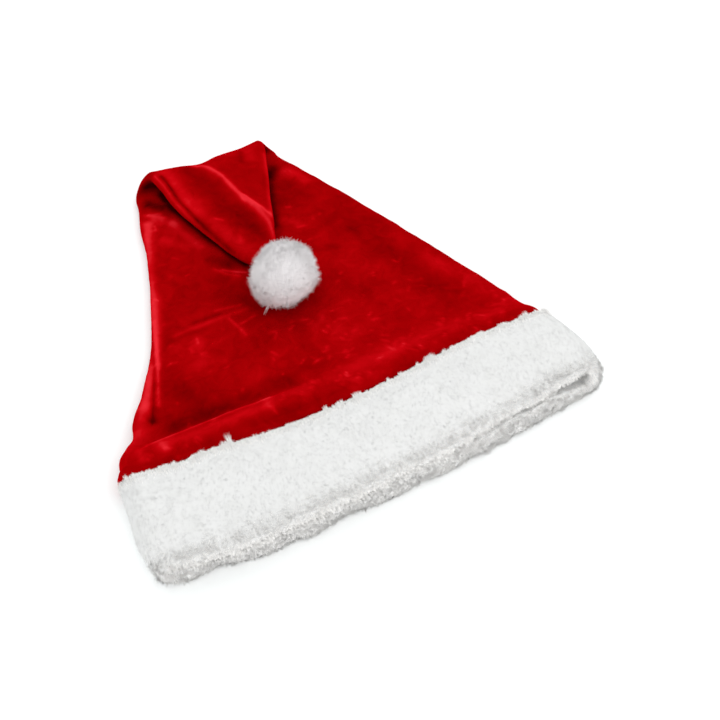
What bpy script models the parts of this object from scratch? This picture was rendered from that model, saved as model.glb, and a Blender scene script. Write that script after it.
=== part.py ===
"""A santa hat of crushed red velvet, lying on its back with its tip folded forward.

Three pieces: the crown, a hollow velvet cone that lies flat and folds back over itself,
the white plush band round its mouth, and the plush pompom at its tip. The crown starts at
the band's back edge, where it is sewn on, so the hollow runs from the mouth into the cone.
X runs across the band, Y from the mouth to the fold and Z up from the floor. Sizes below
are millimetres, with X from the middle of the band, Y from the line of the mouth and Z from
the floor.
"""

import bmesh
import bpy
import numpy as np

MM = 0.001

# The middle of the whole hat's outline, to about a millimetre, which becomes the origin
MIDDLE_X = 0.0
MIDDLE_Y = 145.2

# Velvet, and the gap that pieces keep where they touch
CLOTH_WALL = 1.8
GAP = 0.3

# The plush band: a folded strip, sewn into a ring that lies flattened
BAND_HALF_WIDTH = 152.5
BAND_HEIGHT = 28.0
BAND_WALL = 7.0
BAND_PUFF = 1.6
BAND_FLARE = 3.6
FLARE_LEAN = 1.5
RIGHT_TAPER = 5.0
TAPER_FROM = 90.0
TAPER_TO = 140.0
BAND_STEPS = {"front": 18, "end": 6, "back": 10}
BAR_STEPS = {"front": 4, "end": 4, "back": 2}

# The crown's first row, which is sewn to the band's edge and follows it at a small distance,
# how far on the crown still follows that edge, and how soon its folds reach full height
RIM_LINE = 70.0
RIM_GAP = 1.2
RIM_FOLLOW = 22.0
RIM_CLEAR = 8.0

# The pompom, which rests on the front of the crown
POMPOM_RADIUS = 23.0
POMPOM_SQUASH = 0.96
POMPOM_CENTRE = (0.5, 158.5, 35.95)
POMPOM_SPLITS = 4

# How the crown is divided: sections along it, and points round each section
SECTION_SPACING = 9.0
TURN_STEPS = 8
CROWN_STEPS = {"front": 20, "end": 3, "back": 10}

# A wall whose direction is this upright counts as lying flat. Folds fade out towards its
# side edges, by this power of how far across it they are
LYING_FLAT = 0.9
EDGE_FADE = 6

# How far the middle of the fold sits back from its two corners, and where that begins
FOLD_SAG = 8.0
SAG_FROM = 225.0
SAG_POWER = 2
FOLD_LINE = 291.0

# The edges of the mouth and of the band's other side, on the upper and the lower layer
BAND_COLUMNS = ("x", "upper_lip", "lower_lip", "upper_top", "lower_top")
BAND_LINES = (
    (-156.0, -2.0, 0.0, 70.5, 72.0),
    (-138.0, -6.0, -3.2, 67.0, 71.0),
    (-116.0, -9.0, -1.2, 64.0, 69.0),
    (-98.0, -10.0, -6.2, 63.2, 68.0),
    (-77.0, -10.9, -9.0, 61.0, 67.0),
    (-60.0, -10.3, -9.8, 58.5, 66.0),
    (-37.0, -9.6, -7.5, 57.5, 66.0),
    (-5.0, -8.5, -7.4, 57.5, 66.0),
    (37.0, -7.1, -6.8, 60.5, 67.0),
    (64.0, -3.4, -5.0, 63.5, 68.0),
    (92.0, 0.9, -2.1, 65.5, 69.0),
    (120.0, 6.6, 1.1, 65.5, 70.0),
    (141.0, 9.5, 5.0, 64.5, 71.0),
    (156.0, 9.5, 6.5, 62.5, 71.0),
)

# The crown lying flat, from the band to the fold: where its two side edges are, the height
# of the edges' middle, half the thickness there, and how much further the front and the
# back wall stand out in the middle
BODY_COLUMNS = ("y", "left", "right", "z", "half", "front", "back")
BODY = (
    (RIM_LINE, -151.0, 144.2, 11.2, 10.6, 2.5, 0.0),
    (74.0, -150.2, 143.6, 11.0, 10.4, 2.8, 0.0),
    (79.0, -147.0, 140.0, 9.8, 9.2, 3.4, 0.0),
    (88.0, -144.0, 137.5, 7.6, 7.1, 5.6, 0.0),
    (99.0, -131.8, 135.4, 6.0, 5.6, 7.2, 0.0),
    (112.0, -127.2, 132.0, 5.0, 4.8, 8.2, 0.0),
    (135.0, -111.2, 123.0, 4.5, 4.5, 8.2, 0.0),
    (165.0, -94.2, 111.0, 4.3, 4.3, 6.6, 0.0),
    (200.0, -81.0, 96.0, 4.2, 4.2, 4.0, 0.0),
    (245.0, -66.8, 76.5, 4.0, 4.0, 3.0, 0.0),
    (272.0, -61.0, 64.0, 4.0, 4.0, 2.2, 0.0),
    (FOLD_LINE, -57.5, 55.5, 3.8, 3.8, 0.0, 0.0),
)

# The tip after the fold, lying back over the front: the same, with each edge's own height
TIP_COLUMNS = ("y", "left", "right", "left_z", "right_z", "half", "front", "back")
TIP = (
    (FOLD_LINE, -43.5, 45.0, 23.5, 18.5, 3.8, 0.0, 3.4),
    (266.0, -37.5, 37.0, 20.8, 16.8, 4.0, 0.0, 3.8),
    (243.0, -31.0, 28.5, 19.0, 17.0, 4.0, 0.0, 3.6),
    (220.0, -23.0, 20.5, 18.6, 17.4, 4.0, 0.0, 3.0),
    (200.0, -16.0, 13.5, 19.4, 18.6, 4.2, 0.4, 2.0),
    (188.0, -11.5, 9.5, 22.6, 22.0, 4.4, 0.6, 1.0),
    (180.5, -8.4, 8.0, 26.4, 26.0, 4.9, 0.4, 0.6),
)

# Creases and swellings of the walls that face up. The columns are one end's X and Y, the
# other end's X and Y, how wide, and how far up (or down, below zero) the cloth goes there
BODY_FOLDS = (
    (-132.0, 83.0, -30.0, 79.0, 6.0, 2.4),
    (-128.0, 95.0, -26.0, 88.0, 5.0, -3.0),
    (-92.0, 162.0, -110.0, 101.0, 6.0, -2.6),
    (-102.0, 150.0, -120.0, 108.0, 6.0, 1.8),
    (0.0, 153.0, 2.0, 160.0, 15.0, -2.4),
    (30.0, 205.0, 86.0, 112.0, 16.0, 1.2),
)
TIP_FOLDS = (
    (-14.0, 288.0, 12.0, 214.0, 9.0, 3.2),
    (-30.0, 280.0, -12.0, 204.0, 4.5, -2.0),
    (26.0, 286.0, 22.0, 246.0, 9.0, -1.4),
)

# Each finish: its colour, its roughness and how much its pile glows
VELVET = ((0.42, 0.0, 0.004), 0.55, 0.6)
PLUSH = ((0.82, 0.81, 0.80), 0.9, 0.4)


def clear_scene():
    """Removes every object that the file starts with."""
    for item in list(bpy.data.objects):
        bpy.data.objects.remove(item, do_unlink=True)


def table(columns, rows):
    """The rows of a table as one array for each named column."""
    return dict(zip(columns, np.array(rows, float).T))


def material(name, look):
    """A cloth finish of one colour, with the soft glow that pile gives."""
    colour, roughness, sheen = look
    finish = bpy.data.materials.new(name)
    finish.use_nodes = True
    shader = finish.node_tree.nodes["Principled BSDF"]
    shader.inputs["Base Color"].default_value = (*colour, 1.0)
    shader.inputs["Roughness"].default_value = roughness
    shader.inputs["Metallic"].default_value = 0.0
    shader.inputs["Sheen Weight"].default_value = sheen
    finish.diffuse_color = (*colour, 1.0)
    return finish


def flat_round(front, end, back):
    """Places round a flattened tube, from the right along the front, then back.

    Each has how far across its straight part it is, from -1 to 1, and the direction that
    its end arc faces, which is straight out on the two walls.
    """
    quarter = np.pi / 2
    ends = np.linspace(0.0, np.pi, end + 1)[1:-1]
    across = np.concatenate(
        (
            np.linspace(1.0, -1.0, front + 1),
            np.full(end - 1, -1.0),
            np.linspace(-1.0, 1.0, back + 1),
            np.full(end - 1, 1.0),
        )
    )
    facing = np.concatenate(
        (
            np.full(front + 1, quarter),
            quarter + ends,
            np.full(back + 1, -quarter),
            -quarter + ends,
        )
    )
    return across, facing


def flat_section(half_width, half, across, facing):
    """The flattened tube's outline: two straight walls joined by half circles."""
    sideways = across * (half_width - half) + half * np.cos(facing)
    through = half * np.sin(facing)
    return sideways, through


def along_rows(rows, spacing):
    """Values between a table's rows, on one smooth curve through all of them.

    The curve is a cubic over each stretch between two rows. Its slope at a row is that of
    the parabola through the row and its two neighbours, by their distance in the hat.
    """
    middle = (rows[:, 0:3] + rows[:, 3:6]) / 2
    stretch = np.linalg.norm(np.diff(middle, axis=0), axis=1)[:, None]
    rise = np.diff(rows, axis=0) / stretch
    slope = np.vstack((rise[:1], rise[-1:]))
    inner = (stretch[1:] * rise[:-1] + stretch[:-1] * rise[1:]) / (stretch[1:] + stretch[:-1])
    slope = np.insert(slope, 1, inner, axis=0)
    pieces = []
    for i in range(len(rows) - 1):
        steps = max(1, round(stretch[i, 0] / spacing))
        t = np.linspace(0.0, 1.0, steps, endpoint=False)[:, None]
        pieces.append(
            rows[i] * (2 * t**3 - 3 * t**2 + 1)
            + slope[i] * stretch[i] * (t**3 - 2 * t**2 + t)
            + rows[i + 1] * (3 * t**2 - 2 * t**3)
            + slope[i + 1] * stretch[i] * (t**3 - t**2)
        )
    return np.vstack(pieces + [rows[-1:]])


def relief(x, y, folds):
    """How far a wall is raised at a place: each fold is a soft ridge along its line."""
    height = np.zeros_like(x)
    for x1, y1, x2, y2, width, rise in folds:
        length = np.hypot(x2 - x1, y2 - y1)
        along = ((x - x1) * (x2 - x1) + (y - y1) * (y2 - y1)) / length
        beyond = along - np.clip(along, 0.0, length)
        beside = ((x - x1) * (y2 - y1) - (y - y1) * (x2 - x1)) / length
        height += rise * np.exp(-(beyond**2 + beside**2) / width**2)
    return height


def band_line(x, upper, edge):
    """Where the band's lip or its top edge is at x, from its lower (0) to its upper layer (1)."""
    lines = table(BAND_COLUMNS, BAND_LINES)
    lower_line = np.interp(x, lines["x"], lines["lower_" + edge])
    upper_line = np.interp(x, lines["x"], lines["upper_" + edge])
    return lower_line * (1 - upper) + upper_line * upper


def mesh_object(name, points, faces, finish, home):
    """An object of one mesh, from places in the tables' millimetres."""
    mesh = bpy.data.meshes.new(name)
    placed = (points - np.array((MIDDLE_X, MIDDLE_Y, 0.0))) * MM
    mesh.from_pydata(placed.tolist(), [], faces)
    mesh.materials.append(finish)
    mesh.shade_smooth()
    item = bpy.data.objects.new(name, mesh)
    home.objects.link(item)
    return item


def grid_faces(rows, columns, wrap_rows):
    """Quads over a grid of places that closes on itself across its columns."""
    faces = []
    for i in range(rows if wrap_rows else rows - 1):
        below = i * columns
        above = (i + 1) % rows * columns
        for j in range(columns):
            beside = (j + 1) % columns
            faces.append((below + j, above + j, above + beside, below + beside))
    return faces


def crown_sections():
    """The crown's rows in order: lying flat, round the fold, and back along the tip.

    A row holds the left edge's place, the right edge's place, half the thickness, and how
    far the front and the back wall stand out.
    """
    body = table(BODY_COLUMNS, BODY)
    tip = table(TIP_COLUMNS, TIP)
    walls = ("half", "front", "back")
    lying = np.stack(
        [body[k] for k in ("left", "y", "z", "right", "y", "z", *walls)], axis=1
    )
    folded = np.stack(
        [tip[k] for k in ("left", "y", "left_z", "right", "y", "right_z", *walls)], axis=1
    )
    under = lying[-1]
    over = folded[0]
    angle = np.pi * np.arange(1, TURN_STEPS)[:, None] / TURN_STEPS
    turn = under + (over - under) * (1 - np.cos(angle)) / 2
    turn[:, 1] += (over[2] - under[2]) / 2 * np.sin(angle[:, 0])
    turn[:, 4] += (over[5] - under[5]) / 2 * np.sin(angle[:, 0])
    return np.vstack((lying, turn, folded))


def crown_places():
    """Every place of the crown's cloth, a row of places for each section."""
    rows = along_rows(crown_sections(), SECTION_SPACING)
    across, facing = flat_round(**CROWN_STEPS)
    left = rows[:, 0:3]
    right = rows[:, 3:6]
    middle = (left + right) / 2
    width = np.linalg.norm(right - left, axis=1)[:, None]
    sideways = (right - left) / width
    travel = np.gradient(middle, axis=0)
    outward = np.cross(sideways, travel)
    outward /= np.linalg.norm(outward, axis=1)[:, None]
    shift, through = flat_section(width / 2, rows[:, 6:7], across, facing)
    dome = 1 - across**2
    through += np.where(facing > 0, rows[:, 7:8], -rows[:, 8:9]) * dome
    places = (
        middle[:, None, :]
        + sideways[:, None, :] * shift[:, :, None]
        + outward[:, None, :] * through[:, :, None]
    )
    sag = np.clip((middle[:, 1:2] - SAG_FROM) / (FOLD_LINE - SAG_FROM), 0.0, 1.0)
    places[:, :, 1] -= FOLD_SAG * sag**SAG_POWER * dome
    x, y, z = np.moveaxis(places, 2, 0)
    fade = 1 - np.abs(across) ** EDGE_FADE
    clear = np.clip((y - RIM_LINE) / RIM_CLEAR, 0.0, 1.0)
    follow = np.clip(1 - (y - RIM_LINE) / RIM_FOLLOW, 0.0, 1.0)
    aside = np.abs(x) + RIGHT_TAPER * (x > 0) - BAND_HALF_WIDTH + BAND_HEIGHT / 2
    aside = np.maximum(aside, 0.0)
    upper = (1 + np.sin(np.arctan2(z - BAND_HEIGHT / 2, aside))) / 2
    y += (band_line(x, upper, "top") + RIM_GAP - RIM_LINE) * follow
    front = (outward[:, 2:3] > LYING_FLAT) & (np.sin(facing) > LYING_FLAT)
    back = (outward[:, 2:3] < -LYING_FLAT) & (np.sin(facing) < -LYING_FLAT)
    z += np.where(front, relief(x, y, BODY_FOLDS) * fade * clear, 0.0)
    z += np.where(back, relief(x, y, TIP_FOLDS) * fade, 0.0)
    places[:, :, 2] = np.maximum(z, 0.0)
    return places


def crown(home):
    """The velvet cone: a loft through its sections, closed at the tip on the pompom."""
    places = crown_places()
    rows, columns = places.shape[:2]
    faces = grid_faces(rows, columns, False)
    ball = np.array(POMPOM_CENTRE)
    away = places[-1].mean(axis=0) - ball
    away /= np.linalg.norm(away)
    closing = ball + away * (POMPOM_RADIUS + GAP)
    points = np.vstack((places.reshape(-1, 3), closing))
    last = (rows - 1) * columns
    for j in range(columns):
        faces.append((last + j, rows * columns, last + (j + 1) % columns))
    finish = material("crown_velvet", VELVET)
    item = mesh_object("crown", points, faces, finish, home)
    wall = item.modifiers.new("Cloth", "SOLIDIFY")
    wall.thickness = CLOTH_WALL * MM
    wall.offset = -1.0
    wall.use_even_offset = True
    return item


def band(home):
    """The plush ring: a bar with round edges, carried round the flattened mouth."""
    across, facing = flat_round(**BAND_STEPS)
    bar_across, bar_facing = flat_round(**BAR_STEPS)
    round_edge = BAND_WALL / 2
    out = round_edge * np.sin(bar_facing)[:, None]
    depth = (bar_across[:, None] + 1) / 2
    middle_half = BAND_HEIGHT / 2 - round_edge
    outer = np.clip(out / round_edge, 0.0, 1.0)
    flare = BAND_FLARE * outer * np.sin(np.pi * (1 - depth) ** FLARE_LEAN)
    half_width = BAND_HALF_WIDTH - round_edge + out + flare
    x, through = flat_section(half_width, middle_half + out, across, facing)
    near_end = np.clip((x - TAPER_FROM) / (TAPER_TO - TAPER_FROM), 0.0, 1.0)
    x -= RIGHT_TAPER * depth**2 * near_end**2 * (3 - 2 * near_end)
    upper = (1 + np.sin(facing)) / 2
    lip = band_line(x, upper, "lip")
    top = band_line(x, upper, "top")
    y = lip + round_edge + depth * (top - lip - 2 * round_edge)
    y += round_edge * np.cos(bar_facing)[:, None]
    puff = BAND_PUFF * outer * np.sin(np.pi * depth) * (1 - across**2) * (facing > 0)
    z = BAND_HEIGHT / 2 + through + puff
    points = np.stack((x, y, z), axis=-1)[::-1].reshape(-1, 3)
    faces = grid_faces(len(bar_across), len(across), True)
    finish = material("band_plush", PLUSH)
    return mesh_object("brim_band", points, faces, finish, home)


def pompom(home):
    """The plush ball, a little flattened by its own weight."""
    shape = bmesh.new()
    bmesh.ops.create_icosphere(shape, subdivisions=POMPOM_SPLITS, radius=POMPOM_RADIUS)
    points = np.array([corner.co for corner in shape.verts])
    faces = [[corner.index for corner in face.verts] for face in shape.faces]
    shape.free()
    points[:, 2] *= POMPOM_SQUASH
    points += np.array(POMPOM_CENTRE)
    finish = material("pompom_plush", PLUSH)
    return mesh_object("pompom", points, faces, finish, home)


def main():
    """Builds the hat's three pieces."""
    clear_scene()
    home = bpy.data.collections.new("santa_hat")
    bpy.context.scene.collection.children.link(home)
    crown(home)
    band(home)
    pompom(home)


main()
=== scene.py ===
"""A santa hat of crushed red velvet with a white plush band and pompom.

The hat lies on its back with its tip folded forward over its front. Each piece is a surface
worked out on a grid. Sizes in the tables are millimetres, with X from the middle of the
band, Y from the line of the mouth towards the fold, and Z up from the floor.
"""

import bpy
import numpy as np
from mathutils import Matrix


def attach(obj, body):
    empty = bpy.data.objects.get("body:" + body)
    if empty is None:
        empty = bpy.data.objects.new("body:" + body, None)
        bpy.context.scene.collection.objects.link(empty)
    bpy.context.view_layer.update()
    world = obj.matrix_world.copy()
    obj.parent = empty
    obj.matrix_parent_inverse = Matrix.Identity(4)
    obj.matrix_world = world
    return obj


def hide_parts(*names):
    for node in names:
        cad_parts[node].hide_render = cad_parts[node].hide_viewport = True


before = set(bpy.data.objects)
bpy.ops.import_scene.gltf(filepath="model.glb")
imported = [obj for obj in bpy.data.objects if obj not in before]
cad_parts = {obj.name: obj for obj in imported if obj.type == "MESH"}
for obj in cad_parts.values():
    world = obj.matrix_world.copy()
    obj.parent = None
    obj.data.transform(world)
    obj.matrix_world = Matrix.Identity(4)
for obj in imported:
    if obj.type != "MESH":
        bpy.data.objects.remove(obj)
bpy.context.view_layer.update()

# A millimetre in metres, and the place in the tables that is the frame's origin
MM = 0.001
MIDDLE = np.array((0.0, 145.2, 0.0))

# The crown and the plush of the band stay at least this far above the floor
FLOOR_GAP = 0.05

# The plush band lying flat: its size over all, the thickness of its wall, how far its outer
# face swells in the middle and flares near the lips, and how far its right end leans in
# towards its top edge, between these two places along X
BAND_HALF_WIDTH = 152.5
BAND_HEIGHT = 28.0
BAND_WALL = 7.0
BAND_PUFF = 1.6
BAND_FLARE = 3.6
FLARE_LEAN = 1.5
RIGHT_TAPER = 5.0
TAPER_FROM = 90.0
TAPER_TO = 140.0

# How far the plush is set back to leave room for its pile: at the lips, at the top edge and
# everywhere
LIP_ROOM = 2.4
TOP_ROOM = 1.0
PILE_ROOM = 1.0

# The mouth: the height at which both layers meet behind the lips, how much of the way they
# go there, and the two places along X between which it opens into the pocket at the right
MEETING_HEIGHT = 19.5
MEETING_SHARE = 0.96
POCKET_FROM = 108.0
POCKET_TO = 142.0

# Steps of the band's grid: along its front, each end and back, and round the bar's section
RING_STEPS = (330, 34, 100)
BAR_STEPS = (58, 14, 16)

# How many strands of pile each part has
FACE_STRANDS = 42000
LIP_STRANDS = 44000
EDGE_STRANDS = 24000
POMPOM_STRANDS = 44000

# The band's edges along X, on its upper and its lower layer: the lips and the top edge
BAND_COLUMNS = ("x", "upper_lip", "lower_lip", "upper_top", "lower_top")
BAND_LINES = (
    (-156.0, -2.0, 0.0, 70.5, 72.0),
    (-138.0, -6.0, -3.2, 67.0, 71.0),
    (-116.0, -9.0, -1.2, 64.0, 69.0),
    (-98.0, -10.0, -6.2, 63.2, 68.0),
    (-77.0, -10.9, -9.0, 61.0, 67.0),
    (-60.0, -10.3, -9.8, 58.5, 66.0),
    (-37.0, -9.6, -7.5, 57.5, 66.0),
    (-5.0, -8.5, -7.4, 57.5, 66.0),
    (37.0, -7.1, -6.8, 60.5, 67.0),
    (64.0, -3.4, -5.0, 63.5, 68.0),
    (92.0, -0.9, -2.8, 65.5, 69.0),
    (120.0, 3.6, -0.2, 65.5, 70.0),
    (141.0, 6.2, 1.9, 64.5, 71.0),
    (156.0, 6.2, 3.0, 62.5, 71.0),
)

# The pompom: its size, its middle, its circles and the places round each, how far its plush
# and the roots of its pile lie under its outer form, and its lumps: the way each faces, its
# width and its height
POMPOM_RADIUS = 23.0
POMPOM_SQUASH = 0.96
POMPOM_CENTRE = np.array((0.5, 158.5, 35.95))
POMPOM_STEPS = (70, 110)
PLUSH_UNDER = 2.8
ROOTS_UNDER = 3.0
POMPOM_LUMPS = (
    ((0.86, -0.51, -0.04), 0.20, 2.6),
    ((0.96, -0.24, 0.17), 0.11, -2.2),
    ((0.21, -0.84, -0.49), 0.40, -2.8),
    ((-0.90, -0.14, -0.41), 0.50, 2.6),
    ((-0.63, 0.73, 0.27), 0.40, -1.2),
    ((0.87, 0.21, 0.44), 0.35, 1.0),
    ((-0.20, -0.35, 0.92), 0.30, 0.8),
)

# The way that the pompom's one loose wisp points
POMPOM_WISP = np.array((-0.72, -0.44, -0.54))

# The velvet's wall, the spacing of the crown's rows, the steps round its front, each side and
# its back, the steps of the fold's turn, and the share of the rows and steps that the inner
# side takes: one in this many
VELVET_WALL = 1.6
ROW_SPACING = 1.2
CROWN_STEPS = (180, 12, 78)
TURN_STEPS = 8
INNER_EVERY = 3

# The crown's rim: its line before it follows the band's top edge, how far inside that edge
# it lies, how far up the crown follows it, and how soon the creases begin
RIM_LINE = 70.0
RIM_TUCK = 0.9
RIM_FOLLOW = 22.0
RIM_CLEAR = 8.0

# The fold, how far the cloth's middle sags back from it, and the line where that begins
FOLD_LINE = 291.0
FOLD_SAG = 8.0
SAG_FROM = 225.0

# The crown lying flat, from the band to the fold, and the tip lying back over it. Each row
# has its two sides, their heights, half its thickness, and how far its front and back swell
BODY_COLUMNS = ("y", "left", "right", "z", "half", "front", "back")
BODY = (
    (RIM_LINE, -151.0, 144.2, 11.2, 10.6, 2.5, 0.0),
    (74.0, -150.2, 143.6, 11.0, 10.4, 2.8, 0.0),
    (79.0, -147.0, 140.0, 9.8, 9.2, 3.4, 0.0),
    (88.0, -144.0, 137.5, 7.6, 7.1, 5.6, 0.0),
    (99.0, -131.8, 135.4, 6.0, 5.6, 7.2, 0.0),
    (112.0, -127.2, 132.0, 5.0, 4.8, 8.2, 0.0),
    (135.0, -111.2, 123.0, 4.5, 4.5, 8.2, 0.0),
    (165.0, -94.2, 111.0, 4.3, 4.3, 6.6, 0.0),
    (200.0, -81.0, 96.0, 4.2, 4.2, 4.0, 0.0),
    (245.0, -66.8, 76.5, 4.0, 4.0, 3.0, 0.0),
    (272.0, -61.0, 64.0, 4.0, 4.0, 2.2, 0.0),
    (FOLD_LINE, -55.3, 55.5, 3.8, 3.8, 0.0, 0.0),
)
TIP_COLUMNS = ("y", "left", "right", "left_z", "right_z", "half", "front", "back")
TIP = (
    (FOLD_LINE, -41.0, 45.0, 22.4, 18.5, 3.8, 0.0, 3.4),
    (266.0, -37.5, 37.0, 20.8, 16.8, 4.0, 0.0, 3.8),
    (243.0, -31.0, 28.5, 19.0, 17.0, 4.0, 0.0, 3.6),
    (220.0, -23.0, 20.5, 18.6, 17.4, 4.0, 0.0, 3.0),
    (200.0, -16.0, 13.5, 19.4, 18.6, 4.2, 0.4, 2.0),
    (188.0, -11.5, 9.5, 22.6, 22.0, 4.4, 0.6, 1.0),
    (180.5, -8.4, 8.0, 26.4, 26.0, 4.9, 0.4, 0.6),
)

# Creases and swellings: the width of each, how far it is raised, how pointed its top is, from
# 2 for a soft swelling down to 1 for a crease, and the places that its line goes through
BODY_FOLDS = (
    (6.0, 2.4, 2.0, ((-132, 81), (-30, 77))),
    (5.0, -3.0, 2.0, ((-128, 93), (-26, 87))),
    (1.5, 1.6, 1.0, ((-124, 86), (-84, 86), (-45, 83))),
    (5.0, -2.2, 2.0, ((-92, 162), (-110, 105))),
    (4.0, 1.6, 2.0, ((-102, 150), (-119, 110))),
    (1.4, 1.5, 1.0, ((-86, 178), (-97, 148), (-108, 120), (-115, 103))),
    (1.2, -1.0, 1.0, ((-88, 182), (-99, 150), (-110, 120))),
    (4.0, 2.0, 2.0, ((-134, 96), (-128, 101))),
    (2.0, -1.5, 1.5, ((-117, 112), (-115, 105))),
    (2.0, 1.2, 1.5, ((-133, 90), (-131, 80))),
    (15.0, -2.4, 2.0, ((0, 153), (2, 160))),
    (16.0, 1.2, 2.0, ((30, 205), (86, 112))),
    (2.0, 0.8, 1.2, ((-76, 164), (-26, 160))),
    (2.0, -0.8, 1.5, ((-72, 168), (-44, 165))),
    (1.2, 0.6, 1.0, ((-41, 158), (-39, 150), (-37, 140))),
    (4.0, 2.0, 2.0, ((-50, 279), (-40, 277))),
    (1.5, 0.7, 1.0, ((-55, 276), (-42, 266))),
    (3.0, 1.5, 1.5, ((-33, 203), (-26, 193), (-14, 186))),
    (5.0, 0.6, 2.0, ((40, 120), (96, 128))),
    (6.0, 0.5, 2.0, ((-40, 128), (30, 118))),
    (5.0, -1.4, 2.0, ((46, 276), (40, 268))),
    (5.0, 1.4, 2.0, ((54, 266), (60, 258))),
)
TIP_FOLDS = (
    (8.0, 2.2, 2.0, ((-34, 278), (-27, 250), (-18, 222))),
    (8.0, -1.1, 2.0, ((-14, 280), (-9, 262), (-3, 236), (3, 214))),
    (1.8, 1.8, 1.0, ((-6, 284), (3, 268), (7, 254), (10, 243), (16, 230))),
    (9.0, -2.2, 2.0, ((-2, 300), (-6, 292))),
    (3.0, 1.4, 1.5, ((10, 243), (15, 230), (15, 208))),
    (1.1, -0.8, 1.0, ((-37, 288), (-35, 262), (-30, 242), (-25, 224), (-19, 204))),
    (9.0, -1.4, 2.0, ((28, 286), (24, 246))),
)

# How the nap lies, lighter above zero and darker below it, in the same columns, and the light
# and shade painted with it: painted highlights along the tops of creases and ridges and along
# the left outline, and painted shade in grooves, beside the band's top edge, and left of the
# pompom as its shadow. The body's first line is the painted shadow beside the tip's left side
TIP_PAINTED_SHADOW = ((-37, 290), (-35, 272), (-31, 258), (-27, 244), (-23, 230), (-18, 216), (-11, 198))
BODY_NAP_AND_SHADE = (
    (2.6, -1.5, 2.0, TIP_PAINTED_SHADOW),
    (1.3, 1.1, 1.2, ((-122, 86.5), (-84, 86), (-45, 83.5))),
    (5.0, 0.55, 2.0, ((-118, 80), (-50, 77))),
    (7.0, 0.35, 2.0, ((-45, 79), (40, 80))),
    (7.0, 0.35, 2.0, ((40, 82), (136, 80))),
    (6.0, -0.35, 2.0, ((-108, 94), (-30, 92))),
    (4.0, -0.25, 2.0, ((-62, 66), (-4, 66))),
    (7.0, 0.6, 2.0, ((-133, 96), (-126, 100))),
    (2.5, 0.5, 1.5, ((-131, 84), (-132, 76))),
    (2.5, 0.5, 1.5, ((-117, 82), (-117, 76))),
    (4.5, 1.1, 2.0, ((-57, 266), (-71, 231), (-84, 186), (-92, 163), (-119, 112))),
    (1.6, -0.8, 1.3, ((-88, 180), (-99, 146), (-110, 118), (-115, 107))),
    (1.3, 0.8, 1.2, ((-85, 182), (-95, 150), (-107, 117))),
    (3.0, -0.7, 1.5, ((-118, 112), (-115, 106))),
    (12.0, -0.3, 2.0, ((-90, 106), (-89, 114))),
    (7.0, -0.2, 2.0, ((-93, 122), (-90, 138))),
    (6.0, 0.25, 2.0, ((-66, 152), (-72, 132))),
    (1.6, 0.4, 1.3, ((-78, 163), (-50, 161), (-28, 159))),
    (2.2, -0.4, 1.5, ((-62, 167), (-45, 165))),
    (1.3, 0.5, 1.3, ((-46, 169), (-30, 165))),
    (2.0, -0.25, 1.5, ((-80, 161), (-58, 158))),
    (1.2, 0.7, 1.2, ((-41, 157), (-39, 149), (-37, 139))),
    (0.9, 0.7, 1.2, ((-36, 149), (-25, 151))),
    (14.0, -0.3, 2.0, ((-33, 178), (-30, 184))),
    (8.0, -0.35, 2.0, ((-22, 168), (-22, 160))),
    (1.5, 0.6, 1.3, ((-32, 203), (-26, 194), (-20, 189))),
    (1.5, 1.0, 1.3, ((-27, 200), (-20, 194), (-14, 190))),
    (5.0, -0.5, 2.0, ((-30, 214), (-22, 203))),
    (4.0, 0.4, 2.0, ((-53, 247), (-49, 243))),
    (4.0, 0.5, 2.0, ((-50, 268), (-40, 258))),
    (3.0, 0.5, 2.0, ((-41, 258), (-36, 240), (-32, 228))),
    (1.8, 0.4, 1.5, ((-56, 276), (-44, 266))),
    (4.0, -0.9, 2.0, ((-49, 284), (-42, 276))),
    (1.6, 0.6, 1.5, ((-53, 274), (-45, 271))),
    (3.0, 0.3, 2.0, ((-44, 236), (-41, 231))),
    (3.0, 0.25, 2.0, ((-60, 213), (-57, 209))),
    (12.0, -0.35, 2.0, ((88, 152), (95, 112))),
    (9.0, -0.25, 2.0, ((72, 174), (80, 166))),
    (9.0, -0.25, 2.0, ((42, 148), (48, 136))),
    (7.0, 0.3, 2.0, ((102, 150), (132, 88))),
    (6.0, 0.6, 2.0, ((53, 270), (61, 256))),
    (4.0, -0.7, 2.0, ((46, 278), (41, 272))),
    (14.0, -0.35, 2.0, ((48, 250), (42, 242))),
    (16.0, -0.15, 2.0, ((60, 212), (66, 196))),
    (5.0, 0.35, 2.0, ((30, 224), (36, 216))),
    (6.0, 0.25, 2.0, ((50, 201), (46, 196))),
    (4.0, -0.3, 2.0, ((47, 184), (50, 182))),
    (4.0, -0.3, 2.0, ((68, 194), (70, 190))),
    (3.5, -0.9, 1.5, ((41, 275), (33, 256), (28, 240), (22, 222))),
    (9.0, 0.2, 2.0, ((46, 172), (56, 176))),
    (8.0, 0.2, 2.0, ((10, 124), (24, 108))),
)
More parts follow.
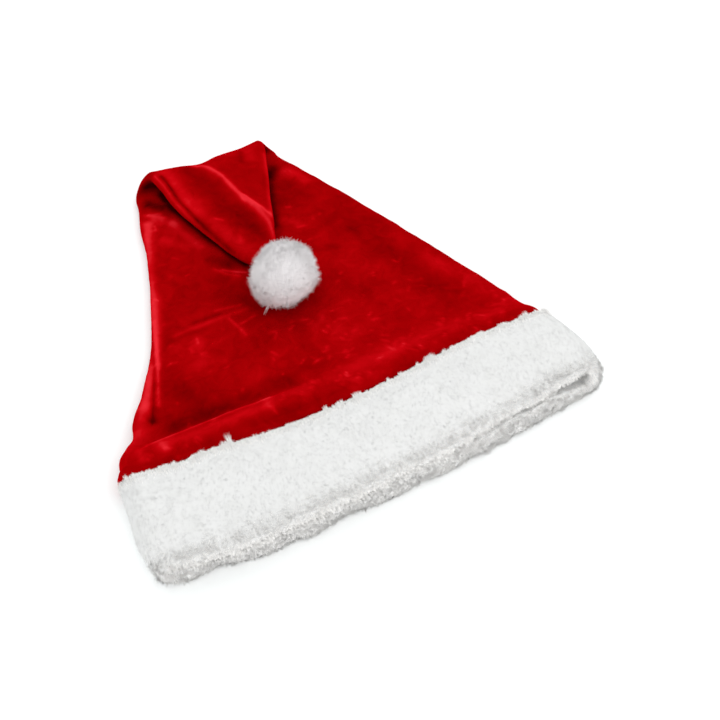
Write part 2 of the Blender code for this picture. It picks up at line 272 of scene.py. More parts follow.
TIP_NAP_AND_SHADE = (
    (6.0, 0.6, 2.0, ((-31, 292), (-30, 270), (-26, 248))),
    (5.0, 0.3, 2.0, ((-24, 244), (-18, 226), (-10, 204))),
    (1.1, -1.1, 1.2, ((-35, 288), (-33, 262), (-28, 240), (-23, 222), (-17, 203))),
    (1.2, 0.9, 1.2, ((-39, 292), (-36, 266), (-31, 243), (-26, 225))),
    (7.5, -0.35, 2.0, ((-16, 286), (-11, 264), (-5, 242), (2, 220), (5, 208))),
    (1.9, 1.2, 1.4, ((-13, 293), (-4, 281), (3, 268), (6, 254), (9, 243))),
    (3.2, 1.0, 1.8, ((9, 243), (14, 231), (16, 216), (14, 203))),
    (1.6, 0.8, 1.4, ((11, 241), (20, 225))),
    (6.0, 0.3, 2.0, ((34, 291), (29, 280))),
    (2.2, -0.3, 1.5, ((26, 288), (22, 278))),
    (1.5, 0.9, 1.3, ((41, 280), (34, 258), (28, 243), (20, 222))),
    (1.2, 0.6, 1.3, ((-17, 234), (-13, 231))),
    (2.0, 0.4, 1.5, ((-8, 212), (-9, 209))),
)

# Small bright crushes of the nap: two corners of the place of each group, and how many it has
FLECKS = (
    ((-128, 66), (134, 92), 95),
    ((-30, 92), (46, 140), 45),
    ((-96, 165), (-50, 275), 16),
    ((-110, 95), (-40, 160), 20),
    ((50, 85), (130, 135), 24),
    ((20, 140), (90, 240), 14),
)


def table(columns, rows):
    """The rows of a table as one array for each named column."""
    return dict(zip(columns, np.array(rows, float).T))


def noise(points, size, seed):
    """Soft noise from about -1 to 1: random numbers on a lattice, eased between its corners.

    Each corner's number comes from its three whole coordinates and the seed, each multiplied
    by a large prime and mixed bit by bit. The easing is 3 t squared less 2 t cubed.
    """
    at = points / size
    cell = np.floor(at).astype(np.int64)
    part = at - cell
    ease = part * part * (3 - 2 * part)
    total = np.zeros(points.shape[:-1])
    for corner in np.ndindex(2, 2, 2):
        x, y, z = np.moveaxis(cell + np.array(corner), -1, 0)
        mixed = (x * 73856093) ^ (y * 19349663) ^ (z * 83492791) ^ (seed * 2654435761)
        mixed = (mixed ^ (mixed >> 13)) * 1274126177 & 0xFFFFFFFF
        mixed = (mixed ^ (mixed >> 16)) * 668265263 & 0xFFFFFFFF
        value = (mixed ^ (mixed >> 15)) % 65536 / 32767.5 - 1
        share = np.prod(np.where(np.array(corner), ease, 1 - ease), axis=-1)
        total += value * share
    return total


def flat_round(front, end, back):
    """Places round a flattened tube: how far across its straight part, and which way it faces.

    Across goes from 1 to -1 along the front and from -1 to 1 along the back, and it stays the
    same round each end. Facing is an angle, a quarter turn at the front.
    """
    quarter = np.pi / 2
    ends = np.linspace(0.0, np.pi, end + 1)[1:-1]
    across = np.concatenate(
        (
            np.linspace(1.0, -1.0, front + 1),
            np.full(end - 1, -1.0),
            np.linspace(-1.0, 1.0, back + 1),
            np.full(end - 1, 1.0),
        )
    )
    facing = np.concatenate(
        (
            np.full(front + 1, quarter),
            quarter + ends,
            np.full(back + 1, -quarter),
            -quarter + ends,
        )
    )
    return across, facing


def flat_section(half_width, half, across, facing):
    """The flattened tube's outline: two straight walls joined by half circles.

    Sideways is across times the half width of the straight part, plus the half thickness
    times the cosine of facing. Through is the half thickness times its sine.
    """
    sideways = across * (half_width - half) + half * np.cos(facing)
    through = half * np.sin(facing)
    return sideways, through


def along_rows(rows, spacing):
    """A smooth cubic through all rows of a table, its slopes taken from their neighbours.

    Between two rows it is the usual cubic through both ends with both slopes.
    """
    middle = (rows[:, 0:3] + rows[:, 3:6]) / 2
    stretch = np.linalg.norm(np.diff(middle, axis=0), axis=1)[:, None]
    rise = np.diff(rows, axis=0) / stretch
    slope = np.vstack((rise[:1], rise[-1:]))
    inner = (stretch[1:] * rise[:-1] + stretch[:-1] * rise[1:]) / (stretch[1:] + stretch[:-1])
    slope = np.insert(slope, 1, inner, axis=0)
    pieces = []
    for i in range(len(rows) - 1):
        steps = max(1, round(stretch[i, 0] / spacing))
        t = np.linspace(0.0, 1.0, steps, endpoint=False)[:, None]
        pieces.append(
            rows[i] * (2 * t**3 - 3 * t**2 + 1)
            + slope[i] * stretch[i] * (t**3 - 2 * t**2 + t)
            + rows[i + 1] * (3 * t**2 - 2 * t**3)
            + slope[i + 1] * stretch[i] * (t**3 - t**2)
        )
    return np.vstack(pieces + [rows[-1:]])


def strokes(x, y, marks):
    """The sum of all marks at a place: each is highest on its line and fades away from it.

    A mark's share is its height times e to the minus (distance over width) to its power.
    """
    total = np.zeros_like(x)
    for width, height, power, line in marks:
        nearest = np.full_like(x, np.inf)
        for (x1, y1), (x2, y2) in zip(line[:-1], line[1:]):
            square = (x2 - x1) ** 2 + (y2 - y1) ** 2
            along = ((x - x1) * (x2 - x1) + (y - y1) * (y2 - y1)) / square
            along = np.clip(along, 0.0, 1.0)
            away = np.hypot(x - x1 - along * (x2 - x1), y - y1 - along * (y2 - y1))
            nearest = np.minimum(nearest, away)
        total += height * np.exp(-((nearest / width) ** power))
    return total


def fleck_marks(rng):
    """Marks for the small bright crushes: short lines at random places of each group.

    Each line is turned at random about one direction, and its width and height are random.
    """
    marks = []
    for (x1, y1), (x2, y2), count in FLECKS:
        for _ in range(count):
            x = rng.uniform(x1, x2)
            y = rng.uniform(y1, y2)
            turn = rng.normal(0.5, 0.9)
            reach = rng.uniform(0.5, 2.6)
            step = (reach * np.cos(turn), reach * np.sin(turn))
            line = ((x - step[0], y - step[1]), (x + step[0], y + step[1]))
            marks.append((rng.uniform(0.6, 1.2), rng.uniform(0.12, 0.6), 1.6, line))
    return marks


def band_line(x, upper, edge):
    """Where the band's lip or top edge is at x, from its lower (0) to its upper layer (1).

    It is straight between the rows of the table, and a mix of both layers by their shares.
    """
    lines = table(BAND_COLUMNS, BAND_LINES)
    lower_line = np.interp(x, lines["x"], lines["lower_" + edge])
    upper_line = np.interp(x, lines["x"], lines["upper_" + edge])
    return lower_line * (1 - upper) + upper_line * upper


def grid_normals(places, wrap_rows):
    """Outward directions of a grid that closes across its columns.

    Each is the cross product of its two tangents, made one long.
    """
    ahead = np.roll(places, -1, axis=1) - np.roll(places, 1, axis=1)
    if wrap_rows:
        along = np.roll(places, -1, axis=0) - np.roll(places, 1, axis=0)
    else:
        along = np.gradient(places, axis=0)
    out = np.cross(along, ahead)
    return out / np.maximum(np.linalg.norm(out, axis=2, keepdims=True), 1e-9)


def grid_quads(rows, columns, wrap_rows):
    """Corner numbers of the quads over a grid that closes across its columns."""
    i = np.arange(rows if wrap_rows else rows - 1)[:, None]
    j = np.arange(columns)[None, :]
    below = i * columns
    above = (i + 1) % rows * columns
    beside = (j + 1) % columns
    corners = np.stack((below + j, above + j, above + beside, below + beside), axis=-1)
    return corners.reshape(-1, 4)


def new_piece(name, points, faces, finish):
    """An object of one mesh, its places given in the tables' millimetres."""
    mesh = bpy.data.meshes.new(name)
    mesh.from_pydata(((points - MIDDLE) * MM).tolist(), [], faces)
    mesh.materials.append(finish)
    mesh.shade_smooth()
    piece = bpy.data.objects.new(name, mesh)
    bpy.context.scene.collection.objects.link(piece)
    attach(piece, "root")
    return piece


def crown_sections():
    """The crown's rows: lying flat, round the fold, and back along the tip.

    Round the fold both sides go from the lower row to the upper one by the cosine of a half
    turn, and out by its sine times half their distance along Y.
    """
    body = table(BODY_COLUMNS, BODY)
    tip = table(TIP_COLUMNS, TIP)
    walls = ("half", "front", "back")
    lying = np.stack([body[k] for k in ("left", "y", "z", "right", "y", "z", *walls)], axis=1)
    folded = np.stack(
        [tip[k] for k in ("left", "y", "left_z", "right", "y", "right_z", *walls)], axis=1
    )
    under = lying[-1]
    over = folded[0]
    angle = np.pi * np.arange(1, TURN_STEPS)[:, None] / TURN_STEPS
    turn = under + (over - under) * (1 - np.cos(angle)) / 2
    turn[:, 1] += (over[2] - under[2]) / 2 * np.sin(angle[:, 0])
    turn[:, 4] += (over[5] - under[5]) / 2 * np.sin(angle[:, 0])
    return np.vstack((lying, turn, folded))


def crown_places():
    """The crown's cloth on a grid and how its nap, with painted light and shade, lies.

    Each row is a flattened tube across the hat, swollen in the middle by 1 less the square of
    across. The middle of the fold sags back with the square of the way from SAG_FROM. Near
    the rim the rows follow the band's top edge. The folds and creases are added along each
    row's outward direction, on the front of the body and on the upper side of the tip, and
    soft noise is added along the surface's own. The nap is the sum of its own marks there,
    which hold painted highlights and painted shade as well as the nap's own patches, and
    painted shade makes it darker where the front turns away from above, round the fold and
    under the tip.
    """
    rows = along_rows(crown_sections(), ROW_SPACING)
    across, facing = flat_round(*CROWN_STEPS)
    left = rows[:, 0:3]
    right = rows[:, 3:6]
    middle = (left + right) / 2
    width = np.linalg.norm(right - left, axis=1)[:, None]
    sideways = (right - left) / width
    travel = np.gradient(middle, axis=0)
    outward = np.cross(sideways, travel)
    outward /= np.linalg.norm(outward, axis=1)[:, None]
    rising = outward[:, 2:3]
    shift, through = flat_section(width / 2, rows[:, 6:7], across, facing)
    dome = 1 - across**2
    through += np.where(facing > 0, rows[:, 7:8], -rows[:, 8:9]) * dome
    places = (
        middle[:, None, :]
        + sideways[:, None, :] * shift[:, :, None]
        + outward[:, None, :] * through[:, :, None]
    )
    sag = np.clip((middle[:, 1:2] - SAG_FROM) / (FOLD_LINE - SAG_FROM), 0.0, 1.0) ** 2
    places[:, :, 1] -= FOLD_SAG * sag * dome
    x, y, z = np.moveaxis(places, 2, 0)
    clear = np.clip((y - RIM_LINE) / RIM_CLEAR, 0.0, 1.0)
    follow = np.clip(1 - (y - RIM_LINE) / RIM_FOLLOW, 0.0, 1.0)
    aside = np.abs(x) + RIGHT_TAPER * (x > 0) - BAND_HALF_WIDTH + BAND_HEIGHT / 2
    upper = (1 + np.sin(np.arctan2(z - BAND_HEIGHT / 2, np.maximum(aside, 0.0)))) / 2
    y += (band_line(x, upper, "top") - RIM_TUCK - RIM_LINE) * follow
    on_front = np.maximum(np.sin(facing), 0.0) * np.maximum(rising, 0.0) ** 2
    on_tip = np.maximum(-np.sin(facing), 0.0) * np.clip(0.5 - rising / 2, 0.0, 1.0)
    raised = strokes(x, y, BODY_FOLDS) * on_front * clear
    raised -= strokes(x, y, TIP_FOLDS) * on_tip
    places += outward[:, None, :] * raised[:, :, None]
    # The nap's own patches together with painted highlights and painted shade from the marks
    nap_and_shade = strokes(x, y, BODY_NAP_AND_SHADE) * on_front + strokes(x, y, TIP_NAP_AND_SHADE) * on_tip
    nap_and_shade += strokes(x, y, fleck_marks(np.random.default_rng(3))) * on_front
    # Painted shade: darker where the front turns away from above, round the fold and under the
    # tip
    nap_and_shade -= 1.3 * np.maximum(np.sin(facing), 0.0) * np.clip(1.0 - rising, 0.0, 1.0)
    out = grid_normals(places, False)
    crushed = 0.45 * noise(places * (1.0, 1.6, 1.6), 17.0, 3)
    crushed += 0.16 * noise(places * (1.0, 1.8, 1.8), 7.0, 4)
    places += out * (crushed * clear)[:, :, None]
    places[:, :, 2] = np.maximum(places[:, :, 2], FLOOR_GAP)
    return places, nap_and_shade


def crown(finish):
    """The velvet cone: a fine outer side and a plainer inner side, joined at the rim.

    The inner side takes every third place of the outer one, moved in by the wall. Both end in
    a point inside the pompom, on the line from its middle to the end of the tip.
    """
    fine, nap_and_shade = crown_places()
    whole = (len(fine) - 1) // INNER_EVERY * INNER_EVERY + 1
    fine = fine[:whole]
    nap_and_shade = nap_and_shade[:whole]
    rows, columns = fine.shape[:2]
    out = grid_normals(fine, False)
    inner = (fine - VELVET_WALL * out)[::INNER_EVERY, ::INNER_EVERY]
    inner_rows, inner_columns = inner.shape[:2]
    away = fine[-1].mean(axis=0) - POMPOM_CENTRE
    away /= np.linalg.norm(away)
    tip_point = POMPOM_CENTRE + away * (POMPOM_RADIUS - ROOTS_UNDER)
    start = rows * columns
    points = np.vstack(
        (fine.reshape(-1, 3), inner.reshape(-1, 3), tip_point, tip_point + VELVET_WALL * away)
    )
    faces = grid_quads(rows, columns, False).tolist()
    faces += (grid_quads(inner_rows, inner_columns, False)[:, ::-1] + start).tolist()
    pole = start + inner_rows * inner_columns
    last = (rows - 1) * columns
    inner_last = start + (inner_rows - 1) * inner_columns
    faces += [(last + j, pole, last + (j + 1) % columns) for j in range(columns)]
    for j in range(inner_columns):
        beside = (j + 1) % inner_columns
        faces.append((inner_last + j, inner_last + beside, pole + 1))
        rim = [(INNER_EVERY * j + k) % columns for k in range(INNER_EVERY + 1)]
        faces.append((*rim, start + beside, start + j))
    piece = new_piece("crown_velvet", points, faces, finish)
    # The nap with its painted highlights and painted shade, kept on the outer side's points
    nap_with_shade = np.zeros(len(points))
    nap_with_shade[:start] = nap_and_shade.ravel()
    piece.data.attributes.new("nap_and_shade", "FLOAT", "POINT").data.foreach_set("value", nap_with_shade)
    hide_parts("crown")
    return piece


def band_places():
    """The band on a grid, how deep each place is from lip to top edge, and which way is out.

    It is a bar with round edges, carried round the flattened mouth. The bar's outer face
    swells by a sine of its depth, and it goes from the lip's line to the top edge's. Behind
    the lips the inner side is drawn towards one height, except in the pocket at the right,
    and made thicker round both ends. Soft noise is added along the surface, and the lips are
    uneven along Y.
    """
    across, facing = flat_round(*RING_STEPS)
    bar_across, bar_facing = flat_round(*BAR_STEPS)
    round_edge = BAND_WALL / 2
    out = round_edge * np.sin(bar_facing)[:, None]
    depth = (bar_across[:, None] + 1) / 2
    middle_half = BAND_HEIGHT / 2 - round_edge
    outer = np.clip(out / round_edge, 0.0, 1.0)
    flare = BAND_FLARE * outer * np.sin(np.pi * (1 - depth) ** FLARE_LEAN)
    half_width = BAND_HALF_WIDTH - round_edge + out + flare
    x, through = flat_section(half_width, middle_half + out, across, facing)
    near_end = np.clip((x - TAPER_FROM) / (TAPER_TO - TAPER_FROM), 0.0, 1.0)
    x -= RIGHT_TAPER * depth**2 * near_end**2 * (3 - 2 * near_end)
    upper = (1 + np.sin(facing)) / 2
    lip = band_line(x, upper, "lip") + LIP_ROOM
    top = band_line(x, upper, "top") - TOP_ROOM
    y = lip + round_edge + depth * (top - lip - 2 * round_edge)
    y += round_edge * np.cos(bar_facing)[:, None]
    puff = BAND_PUFF * outer * np.sin(np.pi * depth) * (1 - across**2) * (facing > 0)
    z = BAND_HEIGHT / 2 + through + puff
    places = np.stack((x, y, z), axis=-1)[::-1]
    depth = depth[::-1] * np.ones_like(x)
    inside = np.clip(-out[::-1] / round_edge, 0.0, 1.0) * np.ones_like(x)
    way = np.stack((np.cos(facing), 0 * facing, np.sin(facing)), axis=-1) * np.ones(places.shape)
    normal = grid_normals(places, True)
    lips = np.clip(1 - depth / 0.3, 0.0, 1.0)
    right = (places[:, :, 0] - POCKET_FROM) / (POCKET_TO - POCKET_FROM)
    right = np.clip(right, 0.0, 1.0)
    lower = np.clip(-np.sin(facing), 0.0, 1.0)
    near_lips = inside * np.clip(1 - (depth / 0.4) ** 2, 0.0, 1.0)
    closed = near_lips * (4.0 * lower * right + 4.5 * np.clip(np.cos(facing), 0.0, 1.0))
    short = MEETING_HEIGHT - places[:, :, 2]
    places[:, :, 2] += short * MEETING_SHARE * near_lips * (1 - right)
    lumps = 0.9 * noise(places, 23.0, 11) + 0.4 * noise(places, 9.0, 12)
    clumps = (0.12 + 0.3 * lips) * noise(places, 3.6, 13) + 0.08 * noise(places, 1.7, 16)
    places = places + normal * (lumps + clumps - PILE_ROOM + closed)[:, :, None]
    places[:, :, 1] -= lips * (1.5 * noise(places, 14.0, 14) + 0.4 * noise(places, 5.0, 17))
    places[:, :, 2] = np.maximum(places[:, :, 2], FLOOR_GAP)
    return places, depth, way


def strands(name, roots, tips, width, out, shade, finish):
    """Short pile: each strand is a thin flat-backed spike from its root to its tip.

    Its root is a triangle, wide along the surface and low above it, and its shading follows
    the direction of the plush under it.
    """
    count = len(roots)
    line = tips - roots
    line /= np.linalg.norm(line, axis=1, keepdims=True)
    side = np.cross(line, out + (0.011, 0.007, 0.013))
    side /= np.maximum(np.linalg.norm(side, axis=1, keepdims=True), 1e-6)
    above = np.cross(side, line)
    w = width[:, None]
    ring = np.stack((roots - w * side, roots + w * side, roots + 0.7 * w * above), axis=1)
    points = np.concatenate((ring, tips[:, None, :]), axis=1)
    points[:, :, 2] = np.maximum(points[:, :, 2], 0.0)
    first = 4 * np.arange(count)[:, None]
    spike = np.array(((1, 0, 3), (2, 1, 3), (0, 2, 3), (0, 1, 2)))
    faces = (first[:, :, None] + spike[None, :, :]).reshape(-1, 3)
    piece = new_piece(name, points.reshape(-1, 3), faces.tolist(), finish)
    shade = shade / np.linalg.norm(shade, axis=1, keepdims=True)
    piece.data.normals_split_custom_set_from_vertices(np.repeat(shade, 4, axis=0).tolist())
    return piece


def scatter(grids, count, weight, rng):
    """Random places on a closed grid, and what other grids hold there.

    A cell is chosen by its weight and then a place within it, between the cell's corners.
    """
    rows, columns = weight.shape
    share = weight.ravel() / weight.sum()
    cell = rng.choice(rows * columns, count, p=share)
    i, j = np.divmod(cell, columns)
    up = (i + 1) % rows
    aside = (j + 1) % columns
    a = rng.random((count, 1))
    b = rng.random((count, 1))
    found = []
    for grid in grids:
        near = grid[i, j] * (1 - b) + grid[i, aside] * b
        far = grid[up, j] * (1 - b) + grid[up, aside] * b
        found.append(near * (1 - a) + far * a)
    return found


def unit(arrows):
    """Arrows of the same directions, each one long."""
    return arrows / np.maximum(np.linalg.norm(arrows, axis=1, keepdims=True), 1e-9)


def cell_area(places):
    """The size of each cell of a closed grid."""
    down = np.roll(places, -1, axis=0) - places
    aside = np.roll(places, -1, axis=1) - places
    return np.linalg.norm(np.cross(down, aside), axis=2)


def clumped(roots, tips, size, pull, seed):
    """Tips drawn together in tufts: each cell of a lattice pulls its tips to one point.

    The point is the cell's middle, moved by soft noise, and each strand keeps its length.
    """
    cell = np.floor(roots / size)
    centre = (cell + 0.5) * size
    shift = np.stack([noise(centre + 0.37 * size, size, seed + k) for k in range(3)], axis=1)
    gather = centre + 0.5 * size * shift - roots
    length = np.linalg.norm(tips - roots, axis=1, keepdims=True)
    moved = tips + pull * gather
    line = moved - roots
    return roots + line / np.linalg.norm(line, axis=1, keepdims=True) * length


def band(finish, pile, tufts):
    """The plush band and its pile: over its faces, on its lips and along its top edge.

    The pile of the faces lies nearly flat, brushed in directions that change with soft noise.
    That of the lips stands out and forward in tufts, and that of the top edge points along Y
    towards the crown, its tufts longer where soft noise is high.
    """
    places, depth, way = band_places()
    rows, columns = places.shape[:2]
    piece = new_piece(
        "brim_plush", places.reshape(-1, 3), grid_quads(rows, columns, True).tolist(), finish
    )
    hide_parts("brim_band")
    normals = grid_normals(places, True)
    grids = (places, normals, way)
    rng = np.random.default_rng(5)
    area = cell_area(places)
    # Inside the band the pile is a fifth as dense as outside
    outside = 0.2 + 0.8 * ((normals * way).sum(axis=2) > -0.2)
    roots, out, _ = scatter(grids, FACE_STRANDS, area * outside, rng)
    swirl = 1.8 * noise(roots, 30.0, 15) + rng.normal(0.0, 0.6, len(roots))
    brushed = np.stack((np.sin(swirl), -np.cos(swirl), 0 * swirl), axis=1)
    brushed = unit(brushed - out * (brushed * out).sum(axis=1, keepdims=True))
    toward = unit(out * 0.07 + brushed + rng.normal(0.0, 0.04, roots.shape))
    tips = roots + toward * rng.uniform(1.6, 3.4, (len(roots), 1))
    thick = rng.uniform(0.10, 0.21, len(roots))
    strands("brim_pile", roots - 0.15 * out, tips, thick, out, out, pile)
    lips = np.exp(-((depth / 0.10) ** 2))
    roots, out, face = scatter(grids, LIP_STRANDS, area * lips, rng)
    toward = unit(out * 0.3 + rng.normal(0.0, 0.35, roots.shape) + (0.0, -0.55, 0.05))
    tuft = np.clip(noise(roots, 3.0, 35), 0.0, 1.0)[:, None]
    tips = roots + toward * (rng.uniform(1.2, 2.6, (len(roots), 1)) + 2.6 * tuft)
    tips = clumped(roots, tips, 3.0, 0.5, 31)
    thick = rng.uniform(0.13, 0.27, len(roots))
    shade = 0.7 * out + 0.3 * face
    # The lip tufts take the lighter copy of the white, painted light against their shade
    strands("lip_pile", roots - 0.2 * out, tips, thick, out, shade, tufts)
    edge = np.exp(-(((1 - depth) / 0.05) ** 2)) * ((normals * way).sum(axis=2) > -0.1)
    roots, out, face = scatter(grids, EDGE_STRANDS, area * edge, rng)
    toward = unit(face * 0.3 + rng.normal(0.0, 0.25, roots.shape) + (0.0, 1.0, 0.0))
    tuft = np.clip(noise(roots * (1.0, 0.3, 0.3), 2.2, 43), 0.0, 1.0)[:, None]
    tuft *= 0.7 + 1.0 * np.clip(noise(roots, 12.0, 44) + 0.2, 0.0, 1.0)[:, None]
    tips = roots + toward * (rng.uniform(0.8, 1.8, (len(roots), 1)) + 4.6 * tuft)
    tips = clumped(roots, tips, 2.0, 0.45, 41)
    thick = rng.uniform(0.11, 0.21, len(roots))
    shade = 0.25 * out + face
    # The top edge's tufts take the lighter copy of the white, painted light against their shade
    strands("edge_pile", roots - 0.1 * out, tips, thick, face, shade, tufts)
    return piece


def ball_places(rows, columns):
    """The pompom on a grid of circles from its bottom to its top, and its two poles."""
    tilt = np.linspace(0.0, np.pi, rows + 2)[1:-1, None]
    turn = -np.linspace(0.0, 2 * np.pi, columns, endpoint=False)[None, :]
    way = np.stack(
        (np.sin(tilt) * np.cos(turn), np.sin(tilt) * np.sin(turn), -np.cos(tilt) + 0 * turn),
        axis=-1,
    )
    poles = np.array(((0.0, 0.0, -1.0), (0.0, 0.0, 1.0)))
    return ball_reach(way, PLUSH_UNDER), ball_reach(poles, PLUSH_UNDER)


def ball_reach(direction, under):
    """Places of the ball each way from its middle, this far under its pile's outer form.

    The radius has soft noise of two sizes, and each lump adds its height times e to the minus
    square of the distance between the directions over its width.
    """
    radius = POMPOM_RADIUS - under + 0.9 * noise(direction * 23.0, 17.0, 51)
    radius += 0.5 * noise(direction * 23.0, 6.0, 52)
    for toward, width, height in POMPOM_LUMPS:
        away = np.linalg.norm(direction - np.array(toward), axis=-1)
        radius += height * np.exp(-((away / width) ** 2))
    reach = direction * radius[..., None]
    reach[..., 2] *= POMPOM_SQUASH
    return reach + POMPOM_CENTRE


def pompom(finish, pile):
    """The plush ball and its pile, brushed out all round.

    Each strand lies along the surface in a direction that is partly soft noise and partly
    random. One in five stands upright, drawn into tufts, and so does the one loose wisp.
    """
    places, poles = ball_places(*POMPOM_STEPS)
    rows, columns = places.shape[:2]
    faces = grid_quads(rows, columns, False).tolist()
    bottom = rows * columns
    for j in range(columns):
        beside = (j + 1) % columns
        faces.append((j, beside, bottom))
        faces.append(((rows - 1) * columns + j, bottom + 1, (rows - 1) * columns + beside))
    points = np.vstack((places.reshape(-1, 3), poles))
    piece = new_piece("pompom_plush", points, faces, finish)
    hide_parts("pompom")
    rng = np.random.default_rng(9)
    count = POMPOM_STRANDS
    direction = unit(rng.normal(0.0, 1.0, (count, 3)))
    roots = ball_reach(direction, ROOTS_UNDER)
    lay = np.stack([noise(direction * 23.0, 11.0, 55 + k) for k in range(3)], axis=1)
    lay += 0.5 * np.stack([noise(direction * 23.0, 4.0, 65 + k) for k in range(3)], axis=1)
    lay = 0.6 * lay + rng.normal(0.0, 0.8, direction.shape)
    lay = unit(lay - direction * (lay * direction).sum(axis=1, keepdims=True))
    wisp = np.linalg.norm(direction - POMPOM_WISP, axis=1, keepdims=True) < 0.04
    upright = (rng.random((count, 1)) < 0.2) | wisp
    toward = unit(direction * np.where(upright, 1.4, 0.12) + np.where(wisp, 0.1, 0.9) * lay)
    tuft = np.clip(noise(roots, 2.2, 73), 0.0, 1.0)[:, None]
    length = rng.uniform(2.2, 3.8, (count, 1)) + 3.4 * tuft * upright + 4.0 * wisp
    tips = roots + toward * length
    tips = np.where(upright & ~wisp, clumped(roots, tips, 2.2, 0.5, 71), tips)
    thick = rng.uniform(0.09, 0.20, count) + 0.08 * upright[:, 0]
    shade = 0.9 * direction + 0.1 * toward
    fur = strands("pompom_pile", roots, tips, thick, direction, shade, pile)
    return piece


def add(nodes, kind, place, **settings):
    """A shader node with its settings and its inputs' values."""
    node = nodes.new(kind)
    node.location = place
    for name, value in settings.items():
        if hasattr(node, name):
            setattr(node, name, value)
        else:
            node.inputs[name.replace("_", " ")].default_value = value
    return node


def ramp(nodes, place, stops):
    """A colour ramp through the given stops."""
    node = nodes.new("ShaderNodeValToRGB")
    node.location = place
    bar = node.color_ramp
    while len(bar.elements) < len(stops):
        bar.elements.new(0.5)
    for element, (position, colour) in zip(bar.elements, stops):
        element.position = position
        element.color = (*colour, 1.0)
    return node


def new_finish(name, values):
    """A material whose shader has the given values, with its nodes, its links and shader."""
    finish = bpy.data.materials.new(name)
    finish.use_nodes = True
    nodes = finish.node_tree.nodes
    shader = nodes["Principled BSDF"]
    for each, value in values.items():
        shader.inputs[each].default_value = value
    return finish, nodes, finish.node_tree.links, shader


def velvet_finish():
    """Crushed velvet: pile pressed every way, so it has dark and light patches and flecks.

    Its tone is a ramp over the sum of the nap and of two noises, each times its share. The nap
    also holds painted highlights and painted shade.
    """
    finish, nodes, links, shader = new_finish(
        "crushed_velvet",
        {
            "Roughness": 0.7,
            "Specular IOR Level": 0.0,
            "Sheen Weight": 0.5,
            "Sheen Roughness": 0.4,
            "Sheen Tint": (1.0, 0.0, 0.008, 1.0),
        },
    )
    where = add(nodes, "ShaderNodeTexCoord", (-1500, 0))
    clouds = add(
        nodes, "ShaderNodeTexNoise", (-1200, 300), Scale=34.0, Detail=2.0, Roughness=0.5,
        Distortion=0.5,
    )
    patches = add(
        nodes, "ShaderNodeTexNoise", (-1200, 0), Scale=110.0, Detail=3.0, Roughness=0.6,
        Distortion=0.8,
    )
    for each in (clouds, patches):
        links.new(where.outputs["Object"], each.inputs["Vector"])
    # The nap with its painted highlights and painted shade, read from the crown's points
    nap_with_shade = add(nodes, "ShaderNodeAttribute", (-1200, -300), attribute_name="nap_and_shade")
    ground = 0.21
    total = None
    for k, (source, share) in enumerate(((nap_with_shade, 0.38), (clouds, 0.30), (patches, 0.28))):
        step = add(nodes, "ShaderNodeMath", (-900 + 200 * k, 0), operation="MULTIPLY_ADD")
        links.new(source.outputs["Fac"], step.inputs[0])
        step.inputs[1].default_value = share
        step.inputs[2].default_value = ground
        if total:
            links.new(total.outputs["Value"], step.inputs[2])
        total = step
    tone = ramp(
        nodes,
        (-250, 0),
        (
            (0.0, (0.03, 0.0, 0.0)),
            (0.25, (0.12, 0.0, 0.0002)),
            (0.42, (0.235, 0.0, 0.0005)),
            (0.55, (0.325, 0.0002, 0.0012)),
            (0.72, (0.47, 0.0015, 0.004)),
            (1.0, (0.72, 0.02, 0.03)),
        ),
    )
    links.new(total.outputs["Value"], tone.inputs["Fac"])
    links.new(tone.outputs["Color"], shader.inputs["Base Color"])
    bump = add(nodes, "ShaderNodeBump", (-250, -300), Strength=0.5, Distance=0.001)
    links.new(patches.outputs["Fac"], bump.inputs["Height"])
    links.new(bump.outputs["Normal"], shader.inputs["Normal"])
    return finish


def plush_finish(name, light, dim):
    """White plush: a soft matte pile whose tufts are a little uneven in tone."""
    finish, nodes, links, shader = new_finish(
        name,
        {
            "Roughness": 0.95,
            "Specular IOR Level": 0.1,
            "Sheen Weight": 0.15,
            "Sheen Roughness": 0.6,
        },
    )
    where = add(nodes, "ShaderNodeTexCoord", (-1200, 0))
    tufts = add(
        nodes, "ShaderNodeTexNoise", (-900, 100), Scale=120.0, Detail=4.0, Roughness=0.6,
        Distortion=0.8,
    )
    hairs = add(nodes, "ShaderNodeTexNoise", (-900, -200), Scale=900.0, Detail=3.0)
    for each in (tufts, hairs):
        links.new(where.outputs["Object"], each.inputs["Vector"])
    tone = ramp(nodes, (-600, 100), ((0.3, dim), (0.6, light)))
    links.new(tufts.outputs["Fac"], tone.inputs["Fac"])
    links.new(tone.outputs["Color"], shader.inputs["Base Color"])
    bump = add(nodes, "ShaderNodeBump", (-350, -200), Strength=0.15, Distance=0.0004)
    links.new(hairs.outputs["Fac"], bump.inputs["Height"])
    links.new(bump.outputs["Normal"], shader.inputs["Normal"])
    return finish


def floor():
    """A plain pale floor under the hat."""
    mesh = bpy.data.meshes.new("floor")
    half = 6.0
    corners = ((-half, -half, 0.0), (half, -half, 0.0), (half, half, 0.0), (-half, half, 0.0))
    mesh.from_pydata(corners, [], [(0, 1, 2, 3)])
    pale = {"Base Color": (0.98, 0.99, 0.99, 1.0), "Roughness": 0.9, "Specular IOR Level": 0.1}
    mesh.materials.append(new_finish("pale_floor", pale)[0])
    ground = bpy.data.objects.new("floor", mesh)
    bpy.context.scene.collection.objects.link(ground)


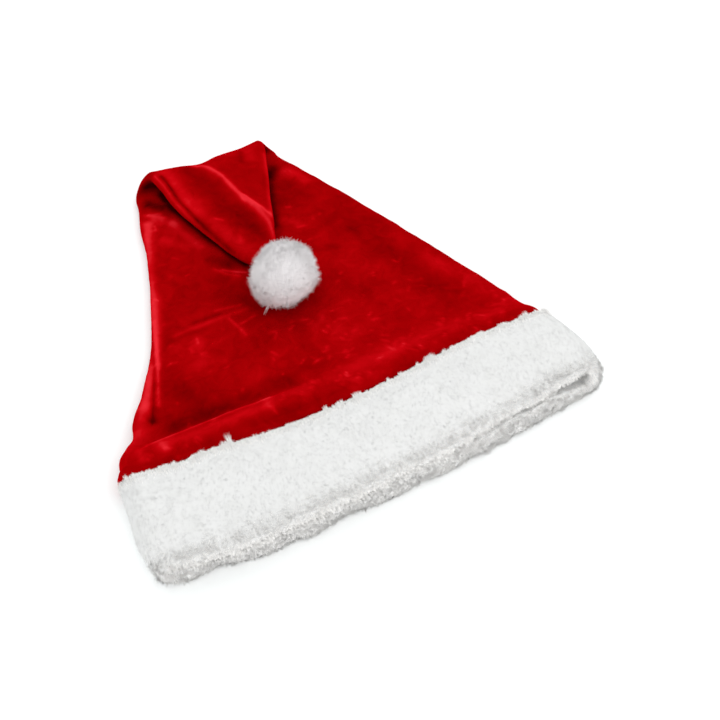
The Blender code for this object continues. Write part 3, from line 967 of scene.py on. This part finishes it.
def lamp(name, place, aim, size, power, colour):
    """A soft square light at a place, aimed at another: its own minus Z points there."""
    light = bpy.data.lights.new(name, "AREA")
    light.size = size
    light.energy = power
    light.color = colour
    item = bpy.data.objects.new(name, light)
    item.location = place
    way = np.array(place) - np.array(aim)
    flat = np.hypot(way[0], way[1])
    item.rotation_euler = (np.arctan2(flat, way[2]), 0.0, np.arctan2(way[0], -way[1]))
    bpy.context.scene.collection.objects.link(item)


def studio():
    """Soft white light all round, three soft lamps, and the camera.

    The camera looks at its target from this azimuth, elevation and distance, in metres.
    """
    scene = bpy.context.scene
    scene.view_settings.view_transform = "Standard"
    world = bpy.data.worlds.new("studio")
    world.use_nodes = True
    background = world.node_tree.nodes["Background"]
    background.inputs["Color"].default_value = (0.98, 1.0, 1.0, 1.0)
    background.inputs["Strength"].default_value = 1.08
    scene.world = world
    lamp("key", (-0.1, 0.7, 1.3), (0.0, 0.0, 0.0), 0.8, 2.0, (1.0, 0.99, 0.98))
    lamp("fill", (-0.1, -1.45, 0.4), (0.0, -0.1, 0.0), 1.0, 7.5, (1.0, 0.99, 0.99))
    lamp("side", (1.2, -0.2, 1.0), (0.1, 0.0, 0.0), 0.8, 2.0, (1.0, 1.0, 1.0))
    azimuth = np.radians(-27.17)
    elevation = np.radians(53.06)
    target = np.array((0.0249, -0.0478, 0.0))
    distance = 0.8
    away = np.array(
        (
            np.sin(azimuth) * np.cos(elevation),
            -np.cos(azimuth) * np.cos(elevation),
            np.sin(elevation),
        )
    )
    view = bpy.data.cameras.new("camera")
    view.lens = 61.1
    view.sensor_width = 36.0
    camera = bpy.data.objects.new("camera", view)
    camera.location = target + distance * away
    camera.rotation_euler = (np.pi / 2 - elevation, 0.0, azimuth)
    scene.collection.objects.link(camera)
    scene.camera = camera


floor()
velvet = velvet_finish()
plush = plush_finish("white_plush", (0.695, 0.69, 0.685), (0.675, 0.67, 0.66))
pile = plush_finish("white_pile", (0.705, 0.70, 0.695), (0.685, 0.68, 0.675))
# A lighter copy of the white pile for the lips and the top edge: painted light that offsets the
# shade among their tufts
tufts = plush_finish("white_tufts_painted_light", (0.94, 0.92, 0.90), (0.90, 0.88, 0.855))
# The pompom's whites are a lighter copy of the band's plush: painted light that offsets the
# shade among its dense pile
ball_plush = plush_finish("pompom_white", (0.96, 0.92, 0.925), (0.94, 0.90, 0.905))
ball_pile = plush_finish("pompom_fluff", (0.97, 0.93, 0.935), (0.95, 0.91, 0.915))
band(plush, pile, tufts)
crown(velvet)
pompom(ball_plush, ball_pile)
studio()
